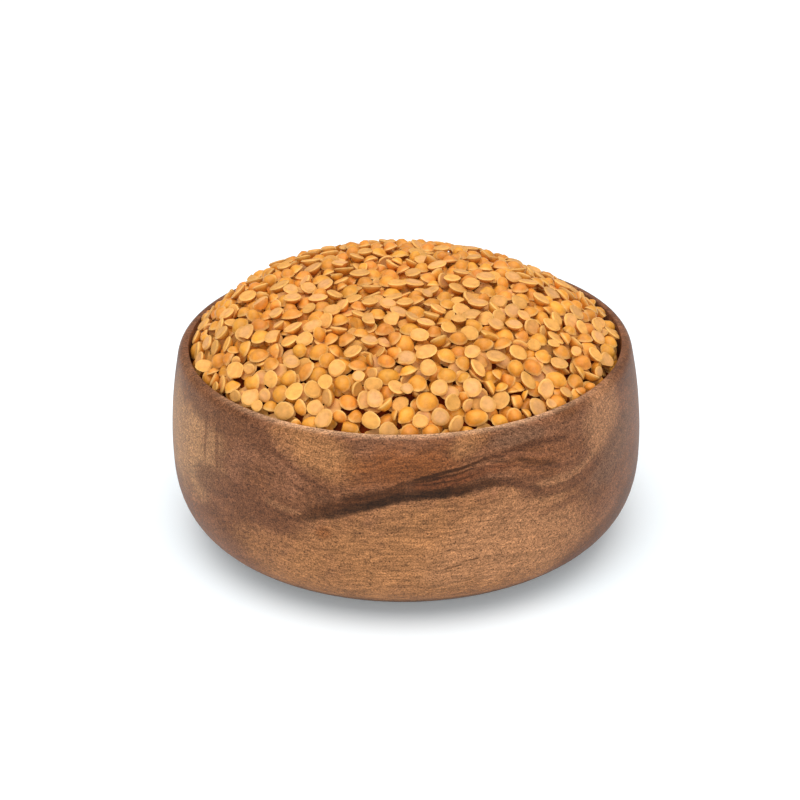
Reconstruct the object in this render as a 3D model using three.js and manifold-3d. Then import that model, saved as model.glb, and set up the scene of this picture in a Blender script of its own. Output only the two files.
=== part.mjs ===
// A turned wooden bowl heaped with split, skinned lentils.
// Millimetres, +Z up, origin at the middle of the foot's flat face.
import * as THREE from 'three';
import { ConvexGeometry } from 'three/addons/geometries/ConvexGeometry.js';
import { mergeVertices } from 'three/addons/utils/BufferGeometryUtils.js';
import Module from 'manifold-3d';

// Bowl: a 5 inch calabash, widest at half height, that closes a little towards the mouth.
const RIM_HEIGHT = 53.3;
const BELLY_RADIUS = 62.5;
const BELLY_HEIGHT = 27;
const FOOT_RADIUS = 30.3;
const UNDERSIDE_ROUNDNESS = 2.9;
const SHOULDER_RADIUS = 60;
const SHOULDER_DROP = 2.9;
const CLOSING_POWER = 1.85;
const MOUTH_RADIUS = 56.9;
const FLOOR_THICKNESS = 8;
const BOWL_SIDES = 48;

// Heap: a flat-topped dome that leans to -X and meets the wall just under the rim.
const HEAP_RISE = 16.2;
const HEAP_EDGE_DROP = 0.5;
const HEAP_FLATNESS = 4;
const HEAP_EDGE_POWER = 1.13;
const HEAP_LEAN = -9.7;
const EDGE_CROWDING = 0.45;
const CORE_DEPTH = 1.8;
const CORE_SIDES = 24;
const CORE_RINGS = 5;
const CLEARANCE = 0.3;

// Lentil: half of a round seed, flat where it split and domed on the other side.
const GRAIN_LENGTH = 5.25;
const GRAIN_WIDTH = 4.8;
const GRAIN_THICKNESS = 2.15;
const GRAIN_SIDES = 6;
const CROWN_SIDES = 3;
const CROWN_WIDTH = 0.5;
const CROWN_HEIGHT = 0.95;
const UNEVENNESS = 0.08;
const GRAIN_COUNT = 330;
const SIZE_SPREAD = 0.12;
const LOWEST_TOP = -0.5;
const HIGHEST_TOP = 0.1;
const GENTLE_TILT = 0.7;
const STEEP_TILT = 1.3;
const STEEP_SHARE = 0.25;
const FLAT_SIDE_UP_SHARE = 0.45;
const SEAT_TRIES = 60;
const SEED = 20;

const WOOD = { color: 0x9a6a4b, roughness: 0.5, metalness: 0 };
const LENTIL = { color: 0xdd9a50, roughness: 0.6, metalness: 0 };

const wasm = await Module();
wasm.setup();

// Small seeded generator, so that the heap is the same each time.
function makeRandom(seed) {
  let state = seed;
  return () => {
    state = (state * 1664525 + 1013904223) % 4294967296;
    return state / 4294967296;
  };
}

// Points of a profile, as [radius, height] pairs, from t = 0 to 1 in equal steps.
function sample(curve, steps, first = 0) {
  const points = [];
  for (let i = first; i <= steps; i += 1) {
    points.push(curve(i / steps));
  }
  return points;
}

// A quarter turn from a flat foot to an upright wall, rounder as the power grows.
function roundedSide(footRadius, wallRadius, bottom, top) {
  return (t) => {
    const rise = 1 - Math.cos((t * Math.PI) / 2);
    const reach = (1 - (1 - rise) ** UNDERSIDE_ROUNDNESS) ** (1 / UNDERSIDE_ROUNDNESS);
    return [footRadius + (wallRadius - footRadius) * reach, bottom + (top - bottom) * rise];
  };
}

// From the belly the wall leans in, ever faster, up to the shoulder.
function closingSide(t) {
  const top = RIM_HEIGHT - SHOULDER_DROP;
  const pull = (BELLY_RADIUS - SHOULDER_RADIUS) * t ** CLOSING_POWER;
  return [BELLY_RADIUS - pull, BELLY_HEIGHT + (top - BELLY_HEIGHT) * t];
}

// The shoulder rolls over into the narrow, nearly flat rim that ends at the mouth.
function shoulder(t) {
  const lean = ((BELLY_RADIUS - SHOULDER_RADIUS) * CLOSING_POWER)
    / (RIM_HEIGHT - SHOULDER_DROP - BELLY_HEIGHT);
  const curve = new THREE.QuadraticBezierCurve(
    new THREE.Vector2(SHOULDER_RADIUS, RIM_HEIGHT - SHOULDER_DROP),
    new THREE.Vector2(SHOULDER_RADIUS - lean * SHOULDER_DROP, RIM_HEIGHT),
    new THREE.Vector2(MOUTH_RADIUS, RIM_HEIGHT),
  );
  return curve.getPoint(t).toArray();
}

// The hollow, from the middle of its floor up to where its wall is upright.
function hollowProfile(inset) {
  const wallRadius = MOUTH_RADIUS - inset;
  const floorRadius = wallRadius - (BELLY_RADIUS - FOOT_RADIUS);
  const floorHeight = FLOOR_THICKNESS + inset;
  const side = roundedSide(floorRadius, wallRadius, floorHeight, BELLY_HEIGHT);
  return [[0, floorHeight], ...sample(side, 5)];
}

// Turns a profile round the Z axis into a closed body.
function turned(profile, sides) {
  const points = profile.map(([radius, height]) => new THREE.Vector2(radius, height));
  return new THREE.LatheGeometry(points, sides).rotateX(Math.PI / 2);
}

function bowlGeometry() {
  const outside = [
    [0, 0],
    ...sample(roundedSide(FOOT_RADIUS, BELLY_RADIUS, 0, BELLY_HEIGHT), 8),
    ...sample(closingSide, 3, 1),
    ...sample(shoulder, 3, 1),
  ];
  return turned([...outside, ...hollowProfile(0).reverse()], BOWL_SIDES);
}

// Height of the heap at a share of the way, 0 to 1, from its middle to the wall.
function heapHeight(share) {
  const fall = (1 - share ** HEAP_FLATNESS) ** HEAP_EDGE_POWER;
  return RIM_HEIGHT - HEAP_EDGE_DROP + (HEAP_RISE + HEAP_EDGE_DROP) * fall;
}

// The middle of the heap is pushed over; its edge stays on the wall.
function heapPoint(share, angle) {
  return new THREE.Vector3(
    MOUTH_RADIUS * share * Math.cos(angle) + HEAP_LEAN * (1 - share),
    MOUTH_RADIUS * share * Math.sin(angle),
    heapHeight(share),
  );
}

// Upward normal of the heap, from two short steps along it.
function heapNormal(share, angle) {
  const step = 0.01;
  const ring = Math.max(share, step);
  const here = heapPoint(ring, angle);
  const inward = heapPoint(ring - step, angle).sub(here);
  const around = heapPoint(ring, angle - step).sub(here);
  return inward.cross(around).normalize();
}

// The hidden filling, a little under the heap's outline and clear of the bowl.
function coreGeometry() {
  const edge = MOUTH_RADIUS - CLEARANCE;
  const ring = (t) => {
    const drop = CORE_DEPTH / heapNormal(1 - t, Math.PI / 2).z;
    return [edge * (1 - t), heapHeight(1 - t) - drop];
  };
  const profile = [...hollowProfile(CLEARANCE), ...sample(ring, CORE_RINGS)];
  const geometry = turned(profile, CORE_SIDES);
  const position = geometry.attributes.position;
  for (let i = 0; i < position.count; i += 1) {
    const radius = Math.hypot(position.getX(i), position.getY(i));
    if (position.getZ(i) > BELLY_HEIGHT) {
      position.setX(i, position.getX(i) + HEAP_LEAN * (1 - radius / edge));
    }
  }
  return geometry;
}

// One lentil, split face down on the XY plane: an uneven rim and a small crown.
function grainGeometry(random) {
  const corners = [];
  const addRing = (sides, width, height) => {
    for (let i = 0; i < sides; i += 1) {
      const angle = (2 * Math.PI * (i + 0.5 * random())) / sides;
      const reach = width * (1 - UNEVENNESS * random());
      const x = (GRAIN_LENGTH / 2) * reach * Math.cos(angle);
      const y = (GRAIN_WIDTH / 2) * reach * Math.sin(angle);
      corners.push(new THREE.Vector3(x, y, height));
    }
  };
  addRing(GRAIN_SIDES, 1, 0);
  addRing(CROWN_SIDES, CROWN_WIDTH, GRAIN_THICKNESS * CROWN_HEIGHT);
  return new ConvexGeometry(corners);
}

// Seats for the lentils: of some random places, each takes the one furthest from the rest.
function grainSeats(random) {
  const seats = [];
  const gapTo = (point) => Math.min(...seats.map((seat) => seat.point.distanceTo(point)));
  while (seats.length < GRAIN_COUNT) {
    let best = null;
    for (let i = 0; i < SEAT_TRIES; i += 1) {
      const share = random() ** EDGE_CROWDING * (1 - GRAIN_WIDTH / 2 / MOUTH_RADIUS);
      const angle = 2 * Math.PI * random();
      const point = heapPoint(share, angle);
      const gap = gapTo(point);
      if (best === null || gap > best.gap) {
        best = { share, angle, point, gap };
      }
    }
    seats.push(best);
  }
  return seats;
}

// Lays a lentil on its seat, tilted at random, and draws it back from the bowl's wall.
function seatedGrain(seat, random) {
  const size = 1 + SIZE_SPREAD * (2 * random() - 1);
  const turn = 2 * Math.PI * random();
  const tilt = random() < STEEP_SHARE ? STEEP_TILT : GENTLE_TILT * random();
  const tiltDirection = 2 * Math.PI * random();
  const tiltAxis = new THREE.Vector3(Math.cos(tiltDirection), Math.sin(tiltDirection), 0);
  const flatSideUp = random() < FLAT_SIDE_UP_SHARE;
  const normal = heapNormal(seat.share, seat.angle);
  const upright = new THREE.Quaternion().setFromUnitVectors(new THREE.Vector3(0, 0, 1), normal);

  const geometry = grainGeometry(random);
  geometry.scale(size, size, size);
  geometry.rotateZ(turn);
  geometry.rotateX(flatSideUp ? Math.PI : 0);
  geometry.applyMatrix4(new THREE.Matrix4().makeRotationAxis(tiltAxis, tilt));
  geometry.computeBoundingBox();
  const top = THREE.MathUtils.lerp(LOWEST_TOP, HIGHEST_TOP, random());
  geometry.translate(0, 0, top - geometry.boundingBox.max.z);
  geometry.applyQuaternion(upright);
  geometry.translate(seat.point.x, seat.point.y, seat.point.z);
  return drawnInside(geometry);
}

// Slides a lentil towards the axis until all of it is inside the mouth.
function drawnInside(geometry) {
  const position = geometry.attributes.position;
  let reach = 0;
  const middle = new THREE.Vector2();
  for (let i = 0; i < position.count; i += 1) {
    reach = Math.max(reach, Math.hypot(position.getX(i), position.getY(i)));
    middle.x += position.getX(i) / position.count;
    middle.y += position.getY(i) / position.count;
  }
  const excess = reach - (MOUTH_RADIUS - 1.5 * CLEARANCE);
  if (excess > 0) {
    middle.normalize();
    geometry.translate(-excess * middle.x, -excess * middle.y, 0);
  }
  return geometry;
}

// Joining and cutting work on merged positions with no zero-area triangles.
function solidFrom(geometry) {
  const bare = geometry.clone();
  bare.deleteAttribute('normal');
  bare.deleteAttribute('uv');
  const merged = mergeVertices(bare, 1e-4);
  const index = merged.index.array;
  const kept = [];
  for (let i = 0; i < index.length; i += 3) {
    const [a, b, c] = [index[i], index[i + 1], index[i + 2]];
    if (a !== b && b !== c && c !== a) {
      kept.push(a, b, c);
    }
  }
  return new wasm.Manifold(new wasm.Mesh({
    numProp: 3,
    vertProperties: new Float32Array(merged.attributes.position.array),
    triVerts: new Uint32Array(kept),
  }));
}

// Back to a mesh's geometry. Of the pieces, only the largest stays: the others are
// pockets that the lentils sealed, which are filled, and loose scraps.
function geometryFrom(solid) {
  const pieces = solid.decompose();
  const largest = pieces.reduce((best, piece) => (piece.volume() > best.volume() ? piece : best));
  const mesh = largest.getMesh();
  const geometry = new THREE.BufferGeometry();
  geometry.setAttribute('position', new THREE.BufferAttribute(mesh.vertProperties, 3));
  geometry.setIndex(new THREE.BufferAttribute(mesh.triVerts, 1));
  geometry.computeVertexNormals();
  return geometry;
}

function heapGeometry() {
  const random = makeRandom(SEED);
  let heap = solidFrom(coreGeometry());
  grainSeats(random).forEach((seat) => {
    heap = heap.add(solidFrom(seatedGrain(seat, random)));
  });
  return geometryFrom(heap);
}

function piece(name, geometry, finish) {
  const mesh = new THREE.Mesh(geometry, new THREE.MeshStandardMaterial(finish));
  mesh.name = name;
  return mesh;
}

const dish = new THREE.Group();
dish.add(piece('bowl', bowlGeometry(), WOOD));
dish.add(piece('lentils', heapGeometry(), LENTIL));

export default dish;
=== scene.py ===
# %% [markdown]
# # A wooden bowl heaped with split lentils
# The real thing is a 5 inch bowl, turned from one block of acacia and rubbed with oil, and filled
# past its rim with lentils that were skinned and split in two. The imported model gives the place
# and the size of both. Here the bowl gets its wood, and the heap is laid again lentil by lentil.

import math

import bpy
import numpy as np
from mathutils import Matrix, Vector


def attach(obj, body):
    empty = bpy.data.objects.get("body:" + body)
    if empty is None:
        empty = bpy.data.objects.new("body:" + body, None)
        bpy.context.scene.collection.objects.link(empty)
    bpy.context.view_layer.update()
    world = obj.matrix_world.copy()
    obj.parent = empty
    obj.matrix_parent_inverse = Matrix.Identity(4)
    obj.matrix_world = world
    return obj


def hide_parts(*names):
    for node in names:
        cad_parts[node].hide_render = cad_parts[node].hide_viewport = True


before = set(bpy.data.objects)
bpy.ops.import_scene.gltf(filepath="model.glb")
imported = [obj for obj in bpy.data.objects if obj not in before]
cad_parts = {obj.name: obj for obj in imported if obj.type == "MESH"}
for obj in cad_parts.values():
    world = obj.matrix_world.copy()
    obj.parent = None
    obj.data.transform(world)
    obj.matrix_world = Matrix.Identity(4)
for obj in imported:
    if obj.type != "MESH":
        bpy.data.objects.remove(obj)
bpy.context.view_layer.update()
bpy.ops.object.select_all(action="DESELECT")
MM = 0.001

# %% [markdown]
# # The camera
# A long lens from some way off keeps the bowl's sides nearly upright. It looks down on the heap
# from about 26 degrees, and it is turned a little about its own axis, as a hand-held frame is.

# %% Camera
CAMERA_ELEVATION = 25.8
CAMERA_ROLL = -0.81
CAMERA_DISTANCE = 600 * MM
CAMERA_AIM = Vector((-1.5, 0, 34.9)) * MM
LENS = 100.9

tilt = Matrix.Rotation(math.radians(90 - CAMERA_ELEVATION), 4, "X")
roll = Matrix.Rotation(math.radians(CAMERA_ROLL), 4, "Z")
bpy.ops.object.camera_add()
camera = bpy.context.object
camera.data.lens = LENS
camera.data.clip_start = 0.05
camera.matrix_world = (
    Matrix.Translation(CAMERA_AIM) @ tilt @ roll @ Matrix.Translation((0, 0, CAMERA_DISTANCE))
)
bpy.context.scene.camera = camera
print("camera at, mm:", [round(v / MM) for v in camera.matrix_world.translation])

# %% [markdown]
# # Colours and nodes
# Colours are written as a colour picker shows them, in sRGB, and Blender mixes light in linear
# values, so one function turns the first into the second. A second function adds a shader node
# with its settings and links, so that each finish below reads as a list of what is in it.

# %% Two helpers for the finishes
def linear(hex_colour):
    """An sRGB hex colour as linear red, green, blue and 1."""
    parts = [int(hex_colour[i:i + 2], 16) / 255 for i in (1, 3, 5)]
    return (*[p / 12.92 if p <= 0.04045 else ((p + 0.055) / 1.055) ** 2.4 for p in parts], 1.0)


def add_node(tree, kind, inputs=None, **settings):
    """A node with its settings. An input is a value, or the socket that it is linked to."""
    made = tree.nodes.new(kind)
    for name, value in settings.items():
        setattr(made, name, value)
    for socket, value in (inputs or {}).items():
        if isinstance(value, bpy.types.NodeSocket):
            tree.links.new(value, made.inputs[socket])
        else:
            made.inputs[socket].default_value = value
    return made


print("oiled wood in linear values:", [round(v, 3) for v in linear("#ac7a57")])

# %% [markdown]
# # Floor and light
# White goods are shot on a white sweep under large soft boxes, so bright that the floor burns out
# and only the shadow close to the bowl is left. A wide box hangs overhead and a little to the
# front, a second one fills from the front, and the white room does the rest. The floor glows a
# little, which is how a sweep lit from below looks.

# %% Floor
SWEEP_WHITE = "#ecf4f8"
SWEEP_GLOW = 0.15
bpy.ops.mesh.primitive_plane_add(size=8, location=(0, 0, 0))
floor = bpy.context.object
floor.name = "floor"
white_sweep = bpy.data.materials.new("white_sweep")
white_sweep.use_nodes = True
sweep_shader = white_sweep.node_tree.nodes["Principled BSDF"]
sweep_shader.inputs["Base Color"].default_value = linear(SWEEP_WHITE)
sweep_shader.inputs["Roughness"].default_value = 0.9
sweep_shader.inputs["Specular IOR Level"].default_value = 0.1
sweep_shader.inputs["Emission Color"].default_value = (1, 1, 1, 1)
sweep_shader.inputs["Emission Strength"].default_value = SWEEP_GLOW
floor.data.materials.append(white_sweep)


# %% Soft boxes and the white room
ROOM_BRIGHTNESS = 0.52


def add_soft_box(name, place, size, power):
    """A square area light at a place, turned to face the middle of the dish."""
    bpy.ops.object.light_add(type="AREA", location=place)
    box = bpy.context.object
    box.name = name
    box.data.size = size
    box.data.energy = power
    facing = Vector((0, 0, 30 * MM)) - Vector(place)
    box.rotation_euler = facing.to_track_quat("-Z", "Y").to_euler()
    return box


add_soft_box("overhead_box", (-0.05, -0.25, 1.25), 1.6, 18)
add_soft_box("front_fill", (0, -1.6, 0.55), 1.0, 8.5)
room = bpy.data.worlds.new("white_room")
room.use_nodes = True
room.node_tree.nodes["Background"].inputs["Color"].default_value = (1, 1, 1, 1)
room.node_tree.nodes["Background"].inputs["Strength"].default_value = ROOM_BRIGHTNESS
bpy.context.scene.world = room
bpy.context.scene.view_settings.view_transform = "Standard"

# %% [markdown]
# # The bowl
# On the lathe the outside is cut first: a small flat foot, a round underside, a belly at half
# height, and a wall that closes slightly towards a soft rim. Then the hollow is cut. Here a disc
# of the foot's size is extruded ring by ring up the outside, over the rim and down the hollow,
# and each new ring is scaled to its radius: a turned shape, and every ring is a cut of the tool.

# %% Sizes of the bowl, in millimetres
RIM_HEIGHT = 53.3
BELLY_RADIUS = 62.5
BELLY_HEIGHT = 27.0
FOOT_RADIUS = 30.3
UNDERSIDE_ROUNDNESS = 2.9
SHOULDER_RADIUS = 60.0
SHOULDER_DROP = 2.9
CLOSING_POWER = 1.85
MOUTH_RADIUS = 56.9
FLOOR_THICKNESS = 8.0
BOWL_SIDES = 120


# %% Profile of the bowl
def rounded_side(foot, wall, bottom, top, steps):
    """Rings of a quarter turn, from a flat foot to an upright wall."""
    rings = []
    for i in range(steps + 1):
        rise = 1 - math.cos(i / steps * math.pi / 2)
        reach = (1 - (1 - rise) ** UNDERSIDE_ROUNDNESS) ** (1 / UNDERSIDE_ROUNDNESS)
        rings.append((foot + (wall - foot) * reach, bottom + (top - bottom) * rise))
    return rings


def closing_side(steps):
    """Rings from the belly to the shoulder, where the wall leans in ever faster."""
    top = RIM_HEIGHT - SHOULDER_DROP
    rings = []
    for i in range(1, steps + 1):
        t = i / steps
        pull = (BELLY_RADIUS - SHOULDER_RADIUS) * t ** CLOSING_POWER
        rings.append((BELLY_RADIUS - pull, BELLY_HEIGHT + (top - BELLY_HEIGHT) * t))
    return rings


def shoulder(steps):
    """Rings over the shoulder, along a curve with one handle, up to the rim's inner edge."""
    low = (SHOULDER_RADIUS, RIM_HEIGHT - SHOULDER_DROP)
    lean = (BELLY_RADIUS - SHOULDER_RADIUS) * CLOSING_POWER / (low[1] - BELLY_HEIGHT)
    handle = (SHOULDER_RADIUS - lean * SHOULDER_DROP, RIM_HEIGHT)
    rings = []
    for i in range(1, steps + 1):
        t = i / steps
        rings.append(tuple(
            (1 - t) ** 2 * a + 2 * t * (1 - t) * b + t * t * c
            for a, b, c in zip(low, handle, (MOUTH_RADIUS + 0.5, RIM_HEIGHT))
        ))
    return rings


def hollow(inset, steps):
    """Rings of the hollow from its floor to where its wall is upright."""
    wall = MOUTH_RADIUS - inset
    return rounded_side(wall - (BELLY_RADIUS - FOOT_RADIUS), wall, FLOOR_THICKNESS + inset,
                        BELLY_HEIGHT, steps)


inner_edge = [(MOUTH_RADIUS + 0.15, RIM_HEIGHT - 0.15), (MOUTH_RADIUS, RIM_HEIGHT - 0.5)]
bowl_rings = (
    rounded_side(FOOT_RADIUS, BELLY_RADIUS, 0, BELLY_HEIGHT, 20)[1:] + closing_side(10)
    + shoulder(8) + inner_edge + hollow(0, 12)[::-1]
)
print("rings of the bowl:", len(bowl_rings))


# %% Extrude the rings
def raise_rings(name, sides, foot_radius, foot_height, rings, shifts=None):
    """A disc, extruded through rings of (radius, height), each moved sideways by its shift."""
    shifts = shifts or [0] * len(rings)
    bpy.ops.object.select_all(action="DESELECT")
    bpy.ops.mesh.primitive_circle_add(vertices=sides, radius=foot_radius * MM, fill_type="NGON")
    made = bpy.context.object
    made.name = made.data.name = name
    bpy.ops.object.mode_set(mode="EDIT")
    bpy.ops.mesh.select_all(action="SELECT")
    bpy.ops.transform.translate(value=(0, 0, foot_height * MM))
    radius, height, shift = foot_radius, foot_height, 0
    for (next_radius, next_height), next_shift in zip(rings, shifts):
        step = ((next_shift - shift) * MM, 0, (next_height - height) * MM)
        bpy.ops.mesh.extrude_region_move(TRANSFORM_OT_translate={"value": step})
        grow = next_radius / radius
        bpy.ops.transform.resize(value=(grow, grow, 1),
                                 center_override=(next_shift * MM, 0, next_height * MM))
        radius, height, shift = next_radius, next_height, next_shift
    bpy.ops.mesh.inset(thickness=radius / 2 * MM)
    bpy.ops.mesh.select_all(action="SELECT")
    bpy.ops.mesh.normals_make_consistent(inside=False)
    bpy.ops.object.mode_set(mode="OBJECT")
    return made


bowl = raise_rings("turned_bowl", BOWL_SIDES, FOOT_RADIUS, 0, bowl_rings)
bpy.ops.object.shade_smooth_by_angle(angle=math.radians(35))
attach(bowl, "root")
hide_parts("bowl")
print("bowl faces:", len(bowl.data.polygons), "size, mm:",
      [round(v / MM, 1) for v in bowl.dimensions])

# %% [markdown]
# # The heap
# The lentils fill the bowl and rise past the rim in a flat-topped dome that leans to one side.
# Only the top layers are ever seen, so a plain filling goes in first, a few millimetres under the
# dome, painted in the deep orange of the shade that shows between lentils. Its rings slide
# sideways as they climb.

# %% Sizes of the heap, in millimetres
HEAP_RISE = 16.2
HEAP_EDGE_DROP = 0.5
HEAP_FLATNESS = 4
HEAP_EDGE_POWER = 1.13
HEAP_LEAN = -9.7
FILLING_DEPTH = 5.5
CLEARANCE = 0.3


# %% Outline of the heap
def heap_height(share):
    """Height of the dome at a share of the way from its middle to the wall."""
    fall = (1 - np.minimum(share, 1) ** HEAP_FLATNESS) ** HEAP_EDGE_POWER
    return RIM_HEIGHT - HEAP_EDGE_DROP + (HEAP_RISE + HEAP_EDGE_DROP) * fall


def heap_height_at(x, y):
    """Height of the leaning dome over a place. The share is found by repeated correction."""
    share = np.hypot(x, y) / MOUTH_RADIUS
    for _ in range(12):
        share = np.hypot(x - HEAP_LEAN * (1 - share), y) / MOUTH_RADIUS
    return heap_height(share)


# %% The filling
filling_edge = MOUTH_RADIUS - CLEARANCE
dome_shares = np.linspace(1, 0.05, 14)
first_ring, *filling_rings = hollow(CLEARANCE, 8)
filling_shifts = [0] * len(filling_rings)
for share in dome_shares:
    filling_rings.append((filling_edge * share, float(heap_height(share)) - FILLING_DEPTH))
    filling_shifts.append(HEAP_LEAN * (1 - share))
filling = raise_rings("filling", 48, *first_ring, filling_rings, filling_shifts)
bpy.ops.object.shade_smooth_by_angle(angle=math.radians(35))
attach(filling, "root")
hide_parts("lentils")
print("filling faces:", len(filling.data.polygons))

# %% [markdown]
# # One lentil
# A lentil without its skin falls apart into two halves: flat where they were joined, domed on
# the outside, about 5.2 mm across and 2.1 mm thick. Half a sphere is the natural start. It is cut
# with bisect, the flat side gets an inset so that its edge can be softened, and the dome's rings
# are lowered, which thins it towards the edge as a real one is. A lentil is repeated hundreds of
# times, so it has only a few dozen faces. All are made with a radius and a thickness of 1.

# %% Make half a lentil
LENTIL_SIDES = 14
EDGE_WIDTH = 0.16
EDGE_HEIGHT = 0.16


def select_points(mesh, wanted):
    """In edit mode, selects the points whose place passes a test, and the faces between them."""
    bpy.ops.mesh.select_all(action="DESELECT")
    bpy.ops.object.mode_set(mode="OBJECT")
    for point in mesh.vertices:
        point.select = bool(wanted(point.co))
    bpy.ops.object.mode_set(mode="EDIT")


def half_lentil(name, dent, cuts=()):
    """Half a seed on its flat face, dented there, with pieces sawn off by planes (place, normal)."""
    bpy.ops.object.select_all(action="DESELECT")
    bpy.ops.mesh.primitive_uv_sphere_add(segments=LENTIL_SIDES, ring_count=6, radius=1)
    seed = bpy.context.object
    seed.name = seed.data.name = name
    bpy.ops.object.mode_set(mode="EDIT")
    bpy.ops.mesh.select_mode(type="VERT")
    bpy.ops.mesh.select_all(action="SELECT")
    bpy.ops.mesh.bisect(plane_co=(0, 0, 0), plane_no=(0, 0, 1), use_fill=True, clear_inner=True)
    select_points(seed.data, lambda p: abs(p.z) < 0.01)
    bpy.ops.mesh.select_mode(type="FACE")
    bpy.ops.mesh.inset(thickness=EDGE_WIDTH)
    bpy.ops.mesh.inset(thickness=0.3)
    bpy.ops.transform.translate(value=(0, 0, dent))
    bpy.ops.mesh.select_mode(type="VERT")
    select_points(seed.data, lambda p: abs(p.z) < 0.01 and p.xy.length > 0.95)
    bpy.ops.transform.translate(value=(0, 0, EDGE_HEIGHT))
    select_points(seed.data, lambda p: 0.4 < p.z < 0.6 and p.xy.length > 0.8)
    bpy.ops.transform.translate(value=(0, 0, -0.08))
    for place, normal in cuts:
        bpy.ops.mesh.select_all(action="SELECT")
        bpy.ops.mesh.bisect(plane_co=place, plane_no=normal, use_fill=True, clear_outer=True)
    bpy.ops.mesh.select_all(action="SELECT")
    bpy.ops.mesh.remove_doubles(threshold=0.02)
    bpy.ops.mesh.normals_make_consistent(inside=False)
    bpy.ops.object.mode_set(mode="OBJECT")
    return seed


# %% The kinds of lentil in the heap, and how common each one is
lentil_kinds = {
    "plain": (half_lentil("plain", 0.03), 0.50),
    "cupped": (half_lentil("cupped", 0.1), 0.24),
    "chipped": (half_lentil("chipped", 0.05, [((0.72, 0, 0), (1, 0.2, 0.3))]), 0.12),
    "notched": (half_lentil("notched", 0.1, [((0.86, 0.3, 0), (1, 0.7, 0.2)),
                                             ((0.86, -0.3, 0), (1, -0.7, 0.1))]), 0.10),
    "broken": (half_lentil("broken", 0.02, [((0.2, 0, 0), (1, 0.1, 0.15))]), 0.04),
}
for name, (seed, share) in lentil_kinds.items():
    print(f"{name}: {len(seed.data.polygons)} faces, {share:.0%} of the heap")

# %% [markdown]
# # Laying the heap
# Lentils are poured, and each one slides and tips until it lies as low as it can. A full rigid-body
# pour is slow and hard to aim at one outline, so the pour is done on a grid of heights, one lentil
# at a time: it is tried in many poses over a hollow of the heap, the lowest pose is bettered by
# small turns and shifts, and it comes to rest where it first touches what lies below. A bed is
# laid first and pressed together, then the lentils that are seen, then small ones and bits in
# the hollows between them. Some stay just as they fall, and so lie askew or on edge.

# %% Sizes of the pour, in millimetres
LENTIL_LENGTH = 5.25
LENTIL_THICKNESS = 2.15
SIZE_SPREAD = 0.13  # either way, as a share of the size
NARROWEST = 0.78  # the least width, as a share of the length
EDGE_RISE = 0.7  # of the heap over the rim, at the wall
RIM_OVERLAP = 0.8  # that a lentil may reach over the rim's edge
WALL_GAP = 0.2  # between the lentils below the rim and the wall
CELL = 0.25  # of the grid of heights
FIELD = 60.0  # half the width of the grid
OUT_OF_REACH = 200.0  # height of the cells past the rim
REACH = 3.2  # how far round its middle a lentil can cover cells
POSES = 12  # tried with a lentil that slides into place
CARELESS_POSES = 4  # tried with one that stays as it falls
CAREFUL_SHARE = 0.55  # of the lentils that slide into place
BETTERINGS = 3
DOME_UP_FAVOUR = 1.5  # how much lower a dome that looks up is counted
WEIGHT_HEIGHT = 0.375  # of the centre of mass, as a share of the height of half a ball
PLACES = 80  # looked at for each lentil
WALL_MARGIN = 1.5  # between those places and the wall
SHIFT = 1.2  # of the first poses, sideways
BETTER_POSES = 12
SPENT_CELLS = 3  # given up on each side of a place where nothing fits
PATIENCE = 60  # rounds without a place that is deep enough
NOWHERE = -1e9
REFUSED = 1e6

chance = np.random.default_rng(7)
cells = int(2 * FIELD / CELL)
axis = (np.arange(cells) + 0.5) * CELL - FIELD
grid_x, grid_y = np.meshgrid(axis, axis, indexing="ij")
from_axis = np.hypot(grid_x, grid_y)
inside = from_axis < MOUTH_RADIUS - WALL_GAP
dome_height = heap_height_at(grid_x, grid_y)
outline = np.maximum(dome_height, RIM_HEIGHT + EDGE_RISE)
ground = np.where(from_axis < MOUTH_RADIUS + RIM_OVERLAP, RIM_HEIGHT, OUT_OF_REACH)
ground[inside] = dome_height[inside] - FILLING_DEPTH
steepness = np.hypot(*np.gradient(outline, CELL))
print("grid of heights:", ground.shape, "outline top, mm:", round(float(outline.max()), 1))


# %% Poses, and how high a lentil reaches over each cell
def rotations(quats):
    """Rotation matrices of unit quaternions, one to a row."""
    w, x, y, z = quats.T
    rows = [
        1 - 2 * (y * y + z * z), 2 * (x * y - w * z), 2 * (x * z + w * y),
        2 * (x * y + w * z), 1 - 2 * (x * x + z * z), 2 * (y * z - w * x),
        2 * (x * z - w * y), 2 * (y * z + w * x), 1 - 2 * (x * x + y * y),
    ]
    return np.stack(rows, -1).reshape(-1, 3, 3)


def nudged(quat, amount, count):
    """Unit quaternions a little turned from one, at random."""
    turn = np.concatenate([np.ones((count, 1)), chance.normal(size=(count, 3)) * amount], 1)
    w1, x1, y1, z1 = (turn / np.linalg.norm(turn, axis=1)[:, None]).T
    w2, x2, y2, z2 = quat
    return np.stack([
        w1 * w2 - x1 * x2 - y1 * y2 - z1 * z2, w1 * x2 + x1 * w2 + y1 * z2 - z1 * y2,
        w1 * y2 - x1 * z2 + y1 * w2 + z1 * x2, w1 * z2 + x1 * y2 - y1 * x2 + z1 * w2,
    ], -1)


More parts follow.
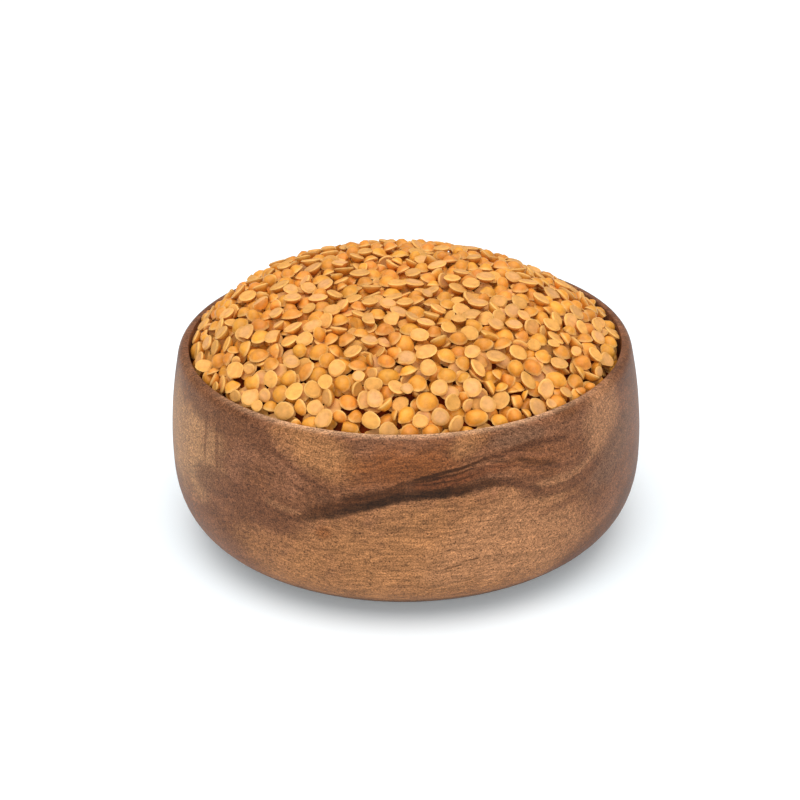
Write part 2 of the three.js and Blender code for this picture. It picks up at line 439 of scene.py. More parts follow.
def underside_and_top(turns, dx, dy, size):
    """Lower and upper height of a half ellipsoid over cells at dx, dy, and where it covers them."""
    across = np.einsum("kji,kjm->kim", turns[:, :2, :], np.stack([dx, dy], 1))
    upright = turns[:, 2, :]
    point = across / size[None, :, None]
    slope = upright / size[None, :]
    a = (slope ** 2).sum(1)[:, None]
    b = (point * slope[:, :, None]).sum(1)
    root = b * b - a * ((point ** 2).sum(1) - 1)
    covered = root > 0
    root = np.sqrt(np.maximum(root, 0))
    flat = -across[:, 2] / np.where(np.abs(upright[:, 2]) < 1e-6, 1e-6, upright[:, 2])[:, None]
    dome_up = (upright[:, 2] > 0)[:, None]
    low, high = (-b - root) / a, (-b + root) / a
    low, high = (np.where(dome_up, np.maximum(low, flat), low),
                 np.where(dome_up, high, np.minimum(high, flat)))
    return low, high, covered & (high > low)


# %% Pour
reach = int(np.ceil(REACH / CELL))
near = np.arange(-reach, reach + 1)
near_i, near_j = (part.ravel() for part in np.meshgrid(near, near, indexing="ij"))
in_reach = near_i ** 2 + near_j ** 2 <= reach * reach
near_i, near_j = near_i[in_reach], near_j[in_reach]
apart = np.arange(-6, 7, 3)
patch_i, patch_j = (part.ravel() for part in np.meshgrid(apart, apart, indexing="ij"))


def tried(quats, xs, ys, size, allowed, settle):
    """Drops one lentil in several poses. The best is the one whose weight lies lowest."""
    turns = rotations(quats)
    pull = np.minimum(1, (MOUTH_RADIUS + RIM_OVERLAP - size[0]) / np.hypot(xs, ys))
    xs, ys = xs * pull, ys * pull
    i = ((xs + FIELD) / CELL).astype(int)
    j = ((ys + FIELD) / CELL).astype(int)
    ci = np.clip(i[:, None] + near_i[None], 0, cells - 1)
    cj = np.clip(j[:, None] + near_j[None], 0, cells - 1)
    low, high, covered = underside_and_top(
        turns, axis[ci] - xs[:, None], axis[cj] - ys[:, None], size)
    support = ground[ci, cj] - settle * inside[ci, cj]
    rest = np.where(covered, support - low, NOWHERE).max(1)
    proud = rest + np.where(covered, high - allowed[ci, cj], NOWHERE).max(1)
    weight = rest + (WEIGHT_HEIGHT * size[2] - DOME_UP_FAVOUR) * turns[:, 2, 2]
    misplaced = (proud > 0) | (rest > OUT_OF_REACH / 2)
    k = int(np.argmin(np.where(misplaced, REFUSED, weight)))
    raised = np.where(covered[k], rest[k] + high[k], NOWHERE)
    score = REFUSED if misplaced[k] else float(weight[k])
    return {"score": score, "quat": quats[k], "turn": turns[k], "x": float(xs[k]),
            "y": float(ys[k]), "z": float(rest[k]), "size": size, "cells": (ci[k], cj[k]),
            "raised": raised}


def poured(size_share, over_outline, deep_enough, settle):
    """Lentils dropped where the heap lacks most, until no untried place is deep enough.

    They may stand over the outline by so much, and each settles into those below it, but
    not into the bowl.
    """
    allowed = outline + over_outline * np.hypot(1, steepness)
    untried = inside.copy()
    laid, misses = [], 0
    while misses < PATIENCE:
        span = np.sqrt(chance.random(PLACES)) * (MOUTH_RADIUS - WALL_MARGIN)
        angle = chance.random(PLACES) * 2 * np.pi
        xs, ys = span * np.cos(angle), span * np.sin(angle)
        i, j = ((xs + FIELD) / CELL).astype(int), ((ys + FIELD) / CELL).astype(int)
        patch = i[:, None] + patch_i, j[:, None] + patch_j
        room = ((outline[patch] - ground[patch]) * inside[patch]).sum(1) / inside[patch].sum(1)
        room *= untried[i, j]
        best = int(np.argmax(room))
        if room[best] < deep_enough:
            misses += 1
            continue
        length = size_share * LENTIL_LENGTH / 2 * (1 + SIZE_SPREAD * chance.uniform(-1, 1))
        size = np.array([length, length * chance.uniform(NARROWEST, 1), size_share
                         * LENTIL_THICKNESS * (1 + SIZE_SPREAD * chance.uniform(-1, 1))])
        careful = chance.random() < CAREFUL_SHARE
        poses = POSES if careful else CARELESS_POSES
        quats = chance.normal(size=(poses, 4))
        quats /= np.linalg.norm(quats, axis=1)[:, None]
        lentil = tried(quats, xs[best] + chance.uniform(-SHIFT, SHIFT, poses),
                       ys[best] + chance.uniform(-SHIFT, SHIFT, poses), size, allowed, settle)
        for bettering in range(BETTERINGS if careful else 1):
            step = 0.5 * 0.55 ** bettering
            other = tried(nudged(lentil["quat"], 0.6 * step, BETTER_POSES),
                          lentil["x"] + chance.normal(size=BETTER_POSES) * step * 1.4,
                          lentil["y"] + chance.normal(size=BETTER_POSES) * step * 1.4,
                          size, allowed, settle)
            lentil = min(lentil, other, key=lambda pose: pose["score"])
        if lentil["score"] == REFUSED:
            spent = [slice(c[best] - SPENT_CELLS, c[best] + SPENT_CELLS + 1) for c in (i, j)]
            untried[spent[0], spent[1]] = False
            continue
        misses = 0
        np.maximum.at(ground, lentil["cells"], lentil["raised"])
        laid.append(lentil)
    return laid


bed = poured(size_share=1, over_outline=-1.5, deep_enough=3.4, settle=1.2)
top = poured(size_share=1, over_outline=0.65, deep_enough=1.2, settle=0.3)
top += poured(size_share=1, over_outline=0.8, deep_enough=1.6, settle=0.3)
small = poured(size_share=0.8, over_outline=0.5, deep_enough=2.1, settle=0.3)
bits = poured(size_share=0.65, over_outline=0.5, deep_enough=2.5, settle=0.3)
print(len(bed), "lentils in the bed,", len(top), "on it,", len(small), "small ones in hollows,",
      len(bits), "bits in the deepest ones")
heap = bed + top + small + bits
steep = np.mean([abs(lentil["turn"][2, 2]) < 0.5 for lentil in heap])
print(len(heap), "lentils,", f"{steep:.0%} of them on edge,",
      "mean depth under the outline, mm:", round(float((outline - ground)[inside].mean()), 2))

# %% [markdown]
# # Joining the lentils
# Each kind becomes one mesh. The copies are made with arrays: the points of the kind are pushed
# in and out a little so that no two outlines agree, scaled to the lentil's own size, turned and
# moved to where it came to rest. Four values go with the points for the finish to read: whether
# they are on the flat face, how far they are from the middle, and two random numbers of a lentil.

# %% Copy and join
OUTLINE_WAVES = (0.05, 0.03, 0.02)


def uneven(points):
    """Points of one lentil, with its outline pushed in and out here and there."""
    angle = np.arctan2(points[:, 1], points[:, 0])
    swell = sum(size * np.cos((n + 2) * angle + chance.uniform(0, 2 * np.pi))
                for n, size in enumerate(OUTLINE_WAVES))
    return points * np.stack([1 + swell, 1 + swell, np.ones_like(swell)], 1) * [0.97, 0.97, 1]


def joined(name, seed, lentils):
    """One mesh of all the lentils of a kind."""
    points = np.array([point.co[:] for point in seed.data.vertices])
    loops = np.array([loop.vertex_index for loop in seed.data.loops])
    sizes = np.array([face.loop_total for face in seed.data.polygons])
    flat_side = (points[:, 2] < 0.9 * EDGE_HEIGHT).astype(float)
    from_middle = np.hypot(points[:, 0], points[:, 1])
    placed = [
        (uneven(points) * one["size"]) @ one["turn"].T + [one["x"], one["y"], one["z"]]
        for one in lentils
    ]
    count = len(lentils)
    mesh = bpy.data.meshes.new(name)
    mesh.vertices.add(count * len(points))
    mesh.vertices.foreach_set("co", (np.concatenate(placed) * MM).ravel())
    mesh.loops.add(count * len(loops))
    mesh.loops.foreach_set(
        "vertex_index", (loops + len(points) * np.arange(count)[:, None]).ravel().astype(np.int32))
    starts = np.concatenate([[0], np.cumsum(np.tile(sizes, count))[:-1]])
    mesh.polygons.add(count * len(sizes))
    mesh.polygons.foreach_set("loop_start", starts.astype(np.int32))
    mesh.update(calc_edges=True)
    tones, tints = chance.random(count), chance.random(count)
    values = {
        "flat_side": np.tile(flat_side, count), "from_middle": np.tile(from_middle, count),
        "tone": np.repeat(tones, len(points)), "tint": np.repeat(tints, len(points)),
    }
    for value_name, value in values.items():
        mesh.attributes.new(value_name, "FLOAT", "POINT").data.foreach_set("value", value)
    made = bpy.data.objects.new(name, mesh)
    bpy.context.collection.objects.link(made)
    return made


# %% One piece for each kind of lentil
shares = np.cumsum([share for _, share in lentil_kinds.values()])
drawn = np.searchsorted(shares, chance.random(len(heap)) * shares[-1])
lentil_pieces = []
for number, (name, (seed, _)) in enumerate(lentil_kinds.items()):
    piece = joined(f"lentils_{name}", seed, [one for one, kind in zip(heap, drawn) if kind == number])
    bpy.ops.object.select_all(action="DESELECT")
    bpy.context.view_layer.objects.active = piece
    piece.select_set(True)
    bpy.ops.object.shade_smooth_by_angle(angle=math.radians(52))
    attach(piece, "root")
    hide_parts("lentils")
    lentil_pieces.append(piece)
    bpy.data.objects.remove(seed)
    print(piece.name, len(piece.data.polygons), "faces")

# %% [markdown]
# # The wood
# The bowl is acacia, an open-grained hardwood, turned, sanded and rubbed with oil. The lathe cuts
# through its growth sheets, which show as arches with a tan lens under them and a dark band over
# it. Its vessels are so wide that each one shows as a dark pore. The finish is laid in that order:
# body colour in clouds, marks of the figure, growth sheets, fibres, and pores over all of them.

# %% Colours and sizes of the wood, in millimetres
WOOD_BROWN = "#80543a"
WOOD_DEEP = "#6e452b"
WOOD_TAN = "#9a6840"
WOOD_PALE = "#a1704c"
WOOD_RED = "#77431f"
WOOD_UMBER = "#643e28"
WOOD_GREY = "#73503a"
WOOD_DARK = "#40230f"
WOOD_BLACK = "#2c180a"
WOOD_BAND = "#42230f"
WOOD_BETWEEN = "#693a20"
WOOD_WING = "#56331f"
WOOD_ROSE = "#915c3e"
WOOD_STRAW = "#aa7c53"
# The colour of the worn rim, also standing in for the highlight on its top
WOOD_WORN_AND_LIT = "#cfa27c"
PORE_DARK = "#35190a"
WALL_RADIUS = 62.0
WAVE_LENGTH = 58.0
WAVE_CREST = 15.0
WAVE_HEIGHT = 3.0
WAVE_CLIMB = 0.12
PORE_LENGTH = 0.9
PORE_SPACING = 0.75
FIBRE_WIDTH = 0.3
STREAK_WIDTH = 3.5
SPECK_SIZE = 0.3

# %% Where a point is in the wood, with the grain wandering by a millimetre or two
oiled_acacia = bpy.data.materials.new("oiled_acacia")
oiled_acacia.use_nodes = True
wood = oiled_acacia.node_tree
wood_shader = wood.nodes["Principled BSDF"]
place = add_node(wood, "ShaderNodeTexCoord")
in_mm = add_node(wood, "ShaderNodeVectorMath", {0: place.outputs["Object"], "Scale": 1 / MM},
                 operation="SCALE")
drift = add_node(wood, "ShaderNodeTexNoise",
                 {"Vector": in_mm.outputs[0], "Scale": 1 / 15, "Detail": 2.0, "Roughness": 0.5})
centred = add_node(wood, "ShaderNodeVectorMath", {0: drift.outputs["Color"], 1: (0.5, 0.5, 0.5)},
                   operation="SUBTRACT")
bent = add_node(wood, "ShaderNodeVectorMath",
                {0: centred.outputs[0], 1: (3, 3, 3), 2: in_mm.outputs[0]},
                operation="MULTIPLY_ADD")
X, Y, Z = add_node(wood, "ShaderNodeSeparateXYZ", {0: bent.outputs[0]}).outputs

# %% On the wall: the way round it from the middle of the front, and the height
front = add_node(wood, "ShaderNodeMath", {0: Y, 1: -1.0}, operation="MULTIPLY")
turn = add_node(wood, "ShaderNodeMath", {0: X, 1: front.outputs[0]}, operation="ARCTAN2")
around = add_node(wood, "ShaderNodeMath", {0: turn.outputs[0], 1: WALL_RADIUS},
                  operation="MULTIPLY")
on_wall = add_node(wood, "ShaderNodeCombineXYZ", {0: around.outputs[0], 1: Z})

# %% Ragged edges, from clouds of 10 mm down to single fibres
ragged_noise = add_node(wood, "ShaderNodeTexNoise",
                        {"Vector": bent.outputs[0], "Scale": 1 / 9, "Detail": 6.0,
                         "Roughness": 0.78})
ragged = add_node(wood, "ShaderNodeMapRange",
                  {"Value": ragged_noise.outputs["Fac"], "From Min": 0.2, "From Max": 0.8,
                   "To Min": -0.8, "To Max": 0.8})

# %% Body colour in clouds
cloud = add_node(wood, "ShaderNodeTexNoise",
                 {"Vector": bent.outputs[0], "Scale": 1 / 13, "Detail": 4.0, "Roughness": 0.6})
cloud_share = add_node(wood, "ShaderNodeMapRange",
                       {"Value": cloud.outputs["Fac"], "From Min": 0.38, "From Max": 0.66})
body = add_node(wood, "ShaderNodeMix",
                {0: cloud_share.outputs[0], 6: linear(WOOD_BROWN), 7: linear(WOOD_DEEP)},
                data_type="RGBA")

# %% The marks of the figure
# Each is a soft-edged stroke: its middle on the wall (round, up), half its length and half its
# width, how steeply it climbs, how much it is bent, its colour and its strength.
wood_marks = {
    "lens": ((4, 20), (50, 20), 0.12, -0.004, WOOD_TAN, 0.95),
    "lens_pale": ((27, 24), (24, 12), 0, -0.01, WOOD_PALE, 0.8),
    "lens_left": ((-35, 17), (15, 8), 0, 0, WOOD_TAN, 0.5),
    "tan_over_arm": ((-24, 49), (13, 6.5), -0.25, 0, WOOD_TAN, 0.95),
    "red_over_band": ((-1, 46), (15, 6.5), 0.1, 0, WOOD_RED, 0.85),
    "tan_over_wing": ((17, 51.5), (6, 3.6), 0.3, 0, WOOD_TAN, 0.8),
    "grey_over_wing": ((29, 50), (8, 2.6), 0, 0, WOOD_GREY, 0.8),
    "brown_right": ((37, 43), (12, 5), 0, 0, WOOD_RED, 0.35),
    "pale_right": ((60, 47), (10, 9), 0.2, 0, WOOD_PALE, 0.85),
    "grey_right": ((66, 37), (15, 6.5), 0.4, 0, WOOD_GREY, 0.85),
    "umber_rim_right": ((77, 50.5), (10, 3.5), 0, 0, WOOD_UMBER, 0.75),
    "umber_low_right": ((61, 13), (22, 6.5), 0.42, 0, WOOD_UMBER, 0.85),
    "umber_rim_left": ((-42, 50), (7, 4), -0.4, 0, WOOD_UMBER, 0.7),
    "pale_left": ((-74, 37), (22, 15), 0, 0, WOOD_STRAW, 0.9),
    "umber_top_left": ((-62, 50.5), (18, 5), 0, 0, WOOD_DEEP, 0.8),
    "umber_left": ((-50, 31.5), (15, 4.5), 0, -0.004, WOOD_UMBER, 0.75),
    "umber_fold": ((-34, 28.5), (8, 4), 0.1, 0, WOOD_UMBER, 0.75),
    "umber_low_left": ((-57, 15), (17, 6), -0.25, 0, WOOD_BROWN, 0.6),
    "red_spot": ((-21, 27.5), (2.5, 1.8), 0, 0, WOOD_RED, 0.6),
    "tail": ((33, 37), (7, 2.6), -0.35, 0, WOOD_UMBER, 0.75),
    "band": ((-3, 39.2), (25, 2.6), 0.204, -0.0051, WOOD_BAND, 0.92),
    "band_edge": ((-1, 37.8), (24, 1.4), 0.18, -0.0051, WOOD_BLACK, 0.97),
    "band_right": ((20, 40.2), (10, 1.3), -0.06, -0.022, WOOD_DARK, 0.8),
    "band_end": ((28.5, 38), (7, 1.1), -0.45, -0.01, WOOD_UMBER, 0.85),
    "between": ((14, 42.8), (14, 1.6), 0.1, -0.003, WOOD_BETWEEN, 0.85),
    "wing": ((11, 44.6), (15, 0.55), 0.19, -0.003, WOOD_DARK, 1.0),
    "under_wing": ((8, 43), (11, 0.35), 0.17, 0, WOOD_DARK, 0.9),
    "third_line": ((12, 42.3), (9, 0.3), 0.12, 0, WOOD_DARK, 0.8),
    "wing_end": ((31, 47), (13, 1.0), 0.03, -0.004, WOOD_WING, 0.9),
    "fan_dark": ((33, 42.8), (8, 0.8), -0.35, 0.01, WOOD_DARK, 0.6),
    "fan_low": ((38, 40.3), (8, 0.7), -0.15, 0.012, WOOD_UMBER, 0.8),
    "fan_red": ((31, 45), (8, 0.8), -0.2, 0, WOOD_ROSE, 0.5),
    "smile": ((46, 37), (14, 1.3), 0.16, 0.011, WOOD_PALE, 0.5),
    "under_smile": ((43, 34), (15, 1.4), 0.05, 0.008, WOOD_UMBER, 0.6),
    "low_layer": ((43, 29.5), (11, 1.2), 0.12, 0.004, WOOD_UMBER, 0.55),
    "arm": ((-30, 43.4), (14, 1.0), -0.57, 0.004, WOOD_UMBER, 0.8),
    "arm_under": ((-33, 41.8), (10, 0.6), -0.6, 0, WOOD_UMBER, 0.6),
    "chevron": ((-32, 32.2), (5, 0.9), -0.08, 0.01, WOOD_PALE, 0.35),
    "end_line_1": ((-54.7, 41), (0.9, 8), 0, 0, WOOD_UMBER, 0.6),
    "end_line_2": ((-60.5, 42), (0.8, 7), 0, 0, WOOD_UMBER, 0.6),
    "tan_back_right": ((135, 22), (36, 15), 0.08, 0, WOOD_TAN, 0.8),
    "streak_back_right": ((138, 38), (32, 1.8), 0.12, -0.002, WOOD_DARK, 0.75),
    "tan_back_left": ((-140, 26), (34, 16), -0.06, 0, WOOD_PALE, 0.75),
    "streak_back_left": ((-130, 42), (30, 1.6), -0.1, -0.002, WOOD_UMBER, 0.85),
    "dash_1": ((10.8, 18.8), (2.4, 0.3), 0.15, 0, WOOD_DARK, 0.6),
    "dash_2": ((15.5, 20.2), (2.6, 0.3), 0.1, 0, WOOD_DARK, 0.6),
    "dash_3": ((10, 28.6), (4, 0.3), 0.1, 0, WOOD_DARK, 0.45),
}


def marked(under, middle, half_size, climb, bend, colour, strength):
    """The colour under a mark with the mark laid on it."""
    off = add_node(wood, "ShaderNodeVectorMath", {0: on_wall.outputs[0], 1: (*middle, 0)},
                   operation="SUBTRACT")
    along, up, _ = add_node(wood, "ShaderNodeSeparateXYZ", {0: off.outputs[0]}).outputs
    slope = add_node(wood, "ShaderNodeMath", {0: along, 1: -bend, 2: -climb},
                     operation="MULTIPLY_ADD")
    above = add_node(wood, "ShaderNodeMath", {0: slope.outputs[0], 1: along, 2: up},
                     operation="MULTIPLY_ADD")
    long_share = add_node(wood, "ShaderNodeMath", {0: along, 1: half_size[0]}, operation="DIVIDE")
    wide_share = add_node(wood, "ShaderNodeMath", {0: above.outputs[0], 1: half_size[1]},
                          operation="DIVIDE")
    # A long stroke keeps its width almost to its ends.
    blunt = 4.0 if half_size[0] > 3 * half_size[1] else 2.0
    long_part = add_node(wood, "ShaderNodeMath", {0: long_share.outputs[0], 1: blunt},
                         operation="POWER")
    wide_part = add_node(wood, "ShaderNodeMath", {0: wide_share.outputs[0], 1: 2.0},
                         operation="POWER")
    out = add_node(wood, "ShaderNodeMath", {0: long_part.outputs[0], 1: wide_part.outputs[0]},
                   operation="ADD")
    out = add_node(wood, "ShaderNodeMath", {0: out.outputs[0], 1: ragged.outputs[0]},
                   operation="ADD")
    share = add_node(wood, "ShaderNodeMapRange",
                     {"Value": out.outputs[0], "From Min": 0, "From Max": 1.5,
                      "To Min": strength, "To Max": 0}, interpolation_type="SMOOTHSTEP")
    return add_node(wood, "ShaderNodeMix", {0: share.outputs[0], 6: under, 7: linear(colour)},
                    data_type="RGBA").outputs[2]


figure = body.outputs[2]
for mark in wood_marks.values():
    figure = marked(figure, *mark)
print("marks in the wood:", len(wood_marks))

# %% The rim at the front, lighter: worn by hands, and partly a painted highlight where its top faces the light
plain_height = add_node(wood, "ShaderNodeSeparateXYZ", {0: in_mm.outputs[0]}).outputs[2]
rim_share = add_node(wood, "ShaderNodeMapRange",
                     {"Value": plain_height, "From Min": RIM_HEIGHT - 0.8, "From Max": RIM_HEIGHT,
                      "To Max": 1.0})
sideways = add_node(wood, "ShaderNodeVectorMath", {0: in_mm.outputs[0], 1: (1, 1, 0)},
                    operation="MULTIPLY")
radius = add_node(wood, "ShaderNodeVectorMath", {0: sideways.outputs[0]}, operation="LENGTH")
lip_share = add_node(wood, "ShaderNodeMapRange",
                     {"Value": radius.outputs["Value"], "From Min": MOUTH_RADIUS + 2.8,
                      "From Max": MOUTH_RADIUS})
rim_share = add_node(wood, "ShaderNodeMath", {0: rim_share.outputs[0], 1: lip_share.outputs[0]},
                     operation="MULTIPLY")
rim_front = add_node(wood, "ShaderNodeMapRange",
                     {"Value": front.outputs[0], "From Min": 30, "From Max": 52})
rim_share = add_node(wood, "ShaderNodeMath", {0: rim_share.outputs[0], 1: rim_front.outputs[0]},
                     operation="MULTIPLY")
# Painted highlight on the front of the rim, mixed with the light colour of wear
worn_and_lit_rim = add_node(wood, "ShaderNodeMix",
                {0: rim_share.outputs[0], 6: figure, 7: linear(WOOD_WORN_AND_LIT)},
                data_type="RGBA")

# %% Growth sheets: arched about a centre under the bowl, and in front in the waves of the figure
sheet_place = add_node(wood, "ShaderNodeVectorMath",
                       {0: bent.outputs[0], 1: (0, 4, -22)}, operation="SUBTRACT")
sheet_flat = add_node(wood, "ShaderNodeVectorMath", {0: sheet_place.outputs[0], 1: (0.1, 1, 1)},
                      operation="MULTIPLY")
sheet = add_node(wood, "ShaderNodeVectorMath", {0: sheet_flat.outputs[0]}, operation="LENGTH")
sheet_line = add_node(wood, "ShaderNodeCombineXYZ", {0: sheet.outputs["Value"]})
growth = add_node(wood, "ShaderNodeTexNoise",
                  {"Vector": sheet_line.outputs[0], "Scale": 0.8, "Detail": 3.0})
wave_turn = add_node(wood, "ShaderNodeMath",
                     {0: around.outputs[0], 1: 2 * math.pi / WAVE_LENGTH,
                      2: -WAVE_CREST * 2 * math.pi / WAVE_LENGTH},
                     operation="MULTIPLY_ADD")
wave = add_node(wood, "ShaderNodeMath", {0: wave_turn.outputs[0]}, operation="COSINE")
sloped = add_node(wood, "ShaderNodeMath", {0: around.outputs[0], 1: -WAVE_CLIMB, 2: Z},
                  operation="MULTIPLY_ADD")
level = add_node(wood, "ShaderNodeMath", {0: wave.outputs[0], 1: -WAVE_HEIGHT, 2: sloped.outputs[0]},
                 operation="MULTIPLY_ADD")
level_line = add_node(wood, "ShaderNodeCombineXYZ", {0: level.outputs[0]})
layers = add_node(wood, "ShaderNodeTexNoise",
                  {"Vector": level_line.outputs[0], "Scale": 0.7, "Detail": 4.0, "Roughness": 0.65})
in_front = add_node(wood, "ShaderNodeMapRange",
                    {"Value": front.outputs[0], "From Min": -10, "From Max": 25})
growth_noise = add_node(wood, "ShaderNodeMix",
                        {0: in_front.outputs[0], 2: growth.outputs["Fac"],
                         3: layers.outputs["Fac"]}, data_type="FLOAT")
growth_gain = add_node(wood, "ShaderNodeMapRange",
                       {"Value": growth_noise.outputs[0], "From Min": 0.3, "From Max": 0.7,
                        "To Min": 0.78, "To Max": 1.2})

# %% Fibres, wider streaks along them, and fine specks
fibre_space = add_node(wood, "ShaderNodeMapping", {0: bent.outputs[0], "Scale": (0.07, 1, 1)})
fibre = add_node(wood, "ShaderNodeTexNoise",
                 {"Vector": fibre_space.outputs[0], "Scale": 1 / (2 * FIBRE_WIDTH), "Detail": 2.0,
                  "Roughness": 0.6})
fibre_gain = add_node(wood, "ShaderNodeMapRange",
                      {"Value": fibre.outputs["Fac"], "From Min": 0.3, "From Max": 0.7,
                       "To Min": 0.62, "To Max": 1.38})
streak_space = add_node(wood, "ShaderNodeMapping", {0: bent.outputs[0], "Scale": (0.12, 1, 1)})
streak = add_node(wood, "ShaderNodeTexNoise",
                  {"Vector": streak_space.outputs[0], "Scale": 1 / STREAK_WIDTH, "Detail": 3.0,
                   "Roughness": 0.6})
streak_gain = add_node(wood, "ShaderNodeMapRange",
                       {"Value": streak.outputs["Fac"], "From Min": 0.3, "From Max": 0.7,
                        "To Min": 0.86, "To Max": 1.12})
speck_space = add_node(wood, "ShaderNodeMapping", {0: in_mm.outputs[0], "Scale": (0.75, 1, 1)})
speck = add_node(wood, "ShaderNodeTexNoise",
                 {"Vector": speck_space.outputs[0], "Scale": 1 / SPECK_SIZE, "Detail": 2.0,
                  "Roughness": 0.6})
speck_gain = add_node(wood, "ShaderNodeMapRange",
                      {"Value": speck.outputs["Fac"], "From Min": 0.32, "From Max": 0.68,
                       "To Min": 0.45, "To Max": 1.55})
gain = add_node(wood, "ShaderNodeMath", {0: growth_gain.outputs[0], 1: fibre_gain.outputs[0]},
                operation="MULTIPLY")
gain = add_node(wood, "ShaderNodeMath", {0: gain.outputs[0], 1: streak_gain.outputs[0]},
                operation="MULTIPLY")
gain = add_node(wood, "ShaderNodeMath", {0: gain.outputs[0], 1: speck_gain.outputs[0]},
                operation="MULTIPLY")
lined = add_node(wood, "ShaderNodeVectorMath", {0: worn_and_lit_rim.outputs[2], "Scale": gain.outputs[0]},
                 operation="SCALE")

# %% Pores: short dark vessels, dashes along the grain and dots where it is cut across
pore_space = add_node(wood, "ShaderNodeMapping",
                      {0: bent.outputs[0],
                       "Scale": (1 / PORE_LENGTH, 1 / PORE_SPACING, 1 / PORE_SPACING)})
pore_cells = add_node(wood, "ShaderNodeTexVoronoi",
                      {"Vector": pore_space.outputs[0], "Scale": 1.0, "Randomness": 1.0})
pore = add_node(wood, "ShaderNodeMapRange",
                {"Value": pore_cells.outputs["Distance"], "From Min": 0.2, "From Max": 0.3,
                 "To Min": 0.8, "To Max": 0})
pore_depth = add_node(wood, "ShaderNodeSeparateColor", {0: pore_cells.outputs["Color"]})
pore_share = add_node(wood, "ShaderNodeMath", {0: pore.outputs[0], 1: pore_depth.outputs[0]},
                      operation="MULTIPLY")
pored = add_node(wood, "ShaderNodeMix",
                 {0: pore_share.outputs[0], 6: lined.outputs[0], 7: linear(PORE_DARK)},
                 data_type="RGBA")

# %% Painted shade on the underside, darker where it curves in to the foot
underside_painted_shade = add_node(wood, "ShaderNodeMapRange",
                     {"Value": plain_height, "From Min": 4, "From Max": 7.5, "To Min": 0.15,
                      "To Max": 1})
# The base colour is scaled down there as painted shade
coloured = add_node(wood, "ShaderNodeVectorMath",
                    {0: pored.outputs[2], "Scale": underside_painted_shade.outputs[0]}, operation="SCALE")
wood.links.new(coloured.outputs[0], wood_shader.inputs["Base Color"])

# %% Satin oil: its dullness varies along the fibres, and pores and fibres can be felt
gloss = add_node(wood, "ShaderNodeMapRange",
                 {"Value": fibre.outputs["Fac"], "From Min": 0.3, "From Max": 0.7,
                  "To Min": 0.42, "To Max": 0.55})
wood.links.new(gloss.outputs[0], wood_shader.inputs["Roughness"])
wood_shader.inputs["IOR"].default_value = 1.5
wood_shader.inputs["Specular IOR Level"].default_value = 0.12
relief = add_node(wood, "ShaderNodeMath", {0: pore_share.outputs[0], 1: -1.0, 2: fibre.outputs[0]},
                  operation="MULTIPLY_ADD")
felt = add_node(wood, "ShaderNodeBump",
                {"Strength": 0.3, "Distance": 0.05 * MM, "Height": relief.outputs[0]})
wood.links.new(felt.outputs[0], wood_shader.inputs["Normal"])
bowl.data.materials.append(oiled_acacia)
print("wood nodes:", len(wood.nodes))

# %% [markdown]
# # The lentil
# A dried pulse is a hard, waxy seed with a soft gloss. Where the skin came off, the dome is a
# golden orange. The split face is duller, paler and often rosy in the middle, with a thin light
# edge, and mottled where the two halves held together. That light edge, which runs round the
# dome's foot too, is partly a painted highlight. No two seeds of a harvest agree: each is a
# little lighter or deeper than the next.

# %% Colours of the lentils
DOME_GOLD = "#eda338"
DOME_DEEP = "#e58e34"
FACE_GOLD = "#e9a64c"
FACE_ROSY = "#e8aa72"
PALE_EDGE_HIGHLIGHT = "#f8c878"
MOTTLE_SIZE = 1.4

# %% Dry lentil
dry_lentil = bpy.data.materials.new("dry_lentil")
dry_lentil.use_nodes = True
pulse = dry_lentil.node_tree
pulse_shader = pulse.nodes["Principled BSDF"]
own = {name: add_node(pulse, "ShaderNodeAttribute", attribute_name=name).outputs["Fac"]
       for name in ("flat_side", "from_middle", "tone", "tint")}
spot = add_node(pulse, "ShaderNodeTexCoord")
mottle = add_node(pulse, "ShaderNodeTexNoise",
                  {"Vector": spot.outputs["Object"], "Scale": 1 / (MOTTLE_SIZE * MM),
                   "Detail": 3.0, "Roughness": 0.6})
dome = add_node(pulse, "ShaderNodeMix",
                {0: own["tint"], 6: linear(DOME_GOLD), 7: linear(DOME_DEEP)}, data_type="RGBA")
rosy_share = add_node(pulse, "ShaderNodeMapRange",
                      {"Value": own["from_middle"], "From Min": 0.35, "From Max": 0.9,
                       "To Min": 1, "To Max": 0.15})
rosy = add_node(pulse, "ShaderNodeMath", {0: rosy_share.outputs[0], 1: own["tint"]},
                operation="MULTIPLY")
face = add_node(pulse, "ShaderNodeMix",
                {0: rosy.outputs[0], 6: linear(FACE_GOLD), 7: linear(FACE_ROSY)},
                data_type="RGBA")
either = add_node(pulse, "ShaderNodeMix",
                  {0: own["flat_side"], 6: dome.outputs[2], 7: face.outputs[2]}, data_type="RGBA")
# Towards the rim of each lentil, on the flat face and the dome's foot: the face's pale edge and a
# painted highlight
edge = add_node(pulse, "ShaderNodeMapRange",
                {"Value": own["from_middle"], "From Min": 0.82, "From Max": 1.0, "To Max": 0.7})
edge_highlighted = add_node(pulse, "ShaderNodeMix",
                 {0: edge.outputs[0], 6: either.outputs[2], 7: linear(PALE_EDGE_HIGHLIGHT)},
                 data_type="RGBA")
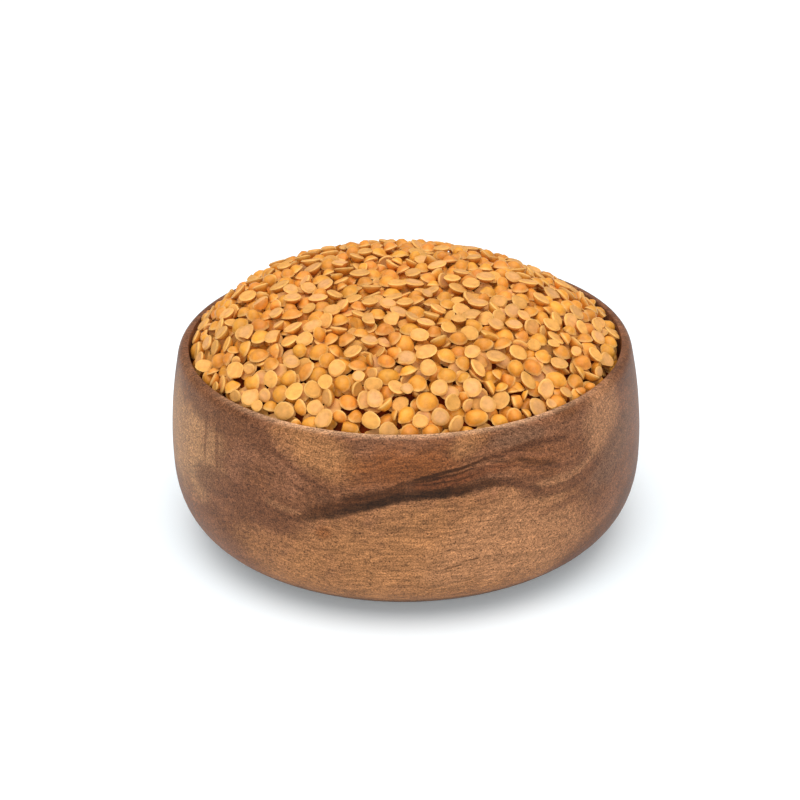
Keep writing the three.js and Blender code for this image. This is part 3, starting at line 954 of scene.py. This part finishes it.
tone_gain = add_node(pulse, "ShaderNodeMapRange", {"Value": own["tone"], "To Min": 0.78,
                                                   "To Max": 1.0})
mottle_gain = add_node(pulse, "ShaderNodeMapRange",
                       {"Value": mottle.outputs["Fac"], "From Min": 0.3, "From Max": 0.7,
                        "To Min": 0.8, "To Max": 1.1})
gain = add_node(pulse, "ShaderNodeMath", {0: tone_gain.outputs[0], 1: mottle_gain.outputs[0]},
                operation="MULTIPLY")
mottled = add_node(pulse, "ShaderNodeVectorMath", {0: edge_highlighted.outputs[2], "Scale": gain.outputs[0]},
                   operation="SCALE")
pulse.links.new(mottled.outputs[0], pulse_shader.inputs["Base Color"])
gloss = add_node(pulse, "ShaderNodeMapRange",
                 {"Value": own["flat_side"], "To Min": 0.4, "To Max": 0.6})
pulse.links.new(gloss.outputs[0], pulse_shader.inputs["Roughness"])
pulse_shader.inputs["IOR"].default_value = 1.45
pulse_shader.inputs["Specular IOR Level"].default_value = 0.35
dimpled = add_node(pulse, "ShaderNodeBump",
                   {"Strength": 0.5, "Distance": 0.12 * MM, "Height": mottle.outputs["Fac"]})
pulse.links.new(dimpled.outputs[0], pulse_shader.inputs["Normal"])
for piece in lentil_pieces:
    piece.data.materials.append(dry_lentil)

# %% Painted shade: the filling in the dark orange and brown of the gaps between the lentils
SHADE_ORANGE = "#8a3406"
SHADE_BROWN = "#4c1802"
lentil_painted_shade = bpy.data.materials.new("lentil_painted_shade")
lentil_painted_shade.use_nodes = True
deep = lentil_painted_shade.node_tree
deep_shader = deep.nodes["Principled BSDF"]
deep_place = add_node(deep, "ShaderNodeTexCoord")
deep_noise = add_node(deep, "ShaderNodeTexVoronoi",
                      {"Vector": deep_place.outputs["Object"], "Scale": 1 / (4 * MM)})
deep_mix = add_node(deep, "ShaderNodeMix",
                    {0: deep_noise.outputs["Distance"], 6: linear(SHADE_ORANGE), 7: linear(SHADE_BROWN)},
                    data_type="RGBA")
# Painted shade, not a lentil's own colour
deep.links.new(deep_mix.outputs[2], deep_shader.inputs["Base Color"])
deep_shader.inputs["Roughness"].default_value = 0.8
deep_shader.inputs["Specular IOR Level"].default_value = 0.1
filling.data.materials.append(lentil_painted_shade)
